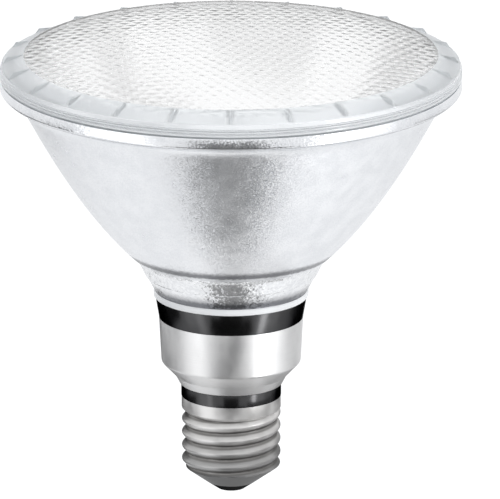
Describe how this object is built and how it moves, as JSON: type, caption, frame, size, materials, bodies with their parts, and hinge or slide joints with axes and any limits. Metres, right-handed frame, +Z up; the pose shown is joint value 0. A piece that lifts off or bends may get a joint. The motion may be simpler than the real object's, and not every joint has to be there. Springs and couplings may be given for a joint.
{
  "type": "par spotlight bulb",
  "caption": "Reflector spotlight bulb: patterned glass lens on a silvered parabolic glass bowl, black collars, a spun metal skirt and a threaded screw base.",
  "frame": {"origin": "middle of the contact face at the tip of the screw base", "axes": "+Z up the axis of the lamp from the contact to the lens, -Y towards the picture's viewer, +X to the viewer's right"},
  "size_m": [0.121, 0.121, 0.1221],
  "materials": {
    "lens_glass": "clear pressed glass",
    "sealant": "cured sealant",
    "silvered_glass": "silvered inside, satin outside",
    "black_gloss": "polished",
    "skirt_aluminium": "satin",
    "plated_shell": "plated",
    "black_insulator": "moulded",
    "contact_metal": "satin",
    "quartz": "clear",
    "tungsten": "drawn wire",
    "bright_wire": "drawn wire",
    "woven_sleeve": "woven glass fibre"
  },
  "bodies": {
    "root": {"lens": "lens_glass", "rim_seal": "sealant", "reflector": "silvered_glass", "upper_ring": "black_gloss", "skirt": "skirt_aluminium", "lower_ring": "black_gloss", "screw_shell": "plated_shell", "base_insulator": "black_insulator", "centre_contact": "contact_metal", "capsule": "quartz", "filament": "tungsten", "filament_lead_left": "tungsten", "filament_lead_right": "tungsten", "foil_left": "bright_wire", "foil_right": "bright_wire", "pin_left": "bright_wire", "pin_right": "bright_wire", "leg_left": "bright_wire", "leg_right": "bright_wire", "ferrule_left": "contact_metal", "ferrule_right": "contact_metal", "live_lead": "bright_wire", "return_lead": "bright_wire", "lead_sleeve": "woven_sleeve"}
  },
  "joints": []
}
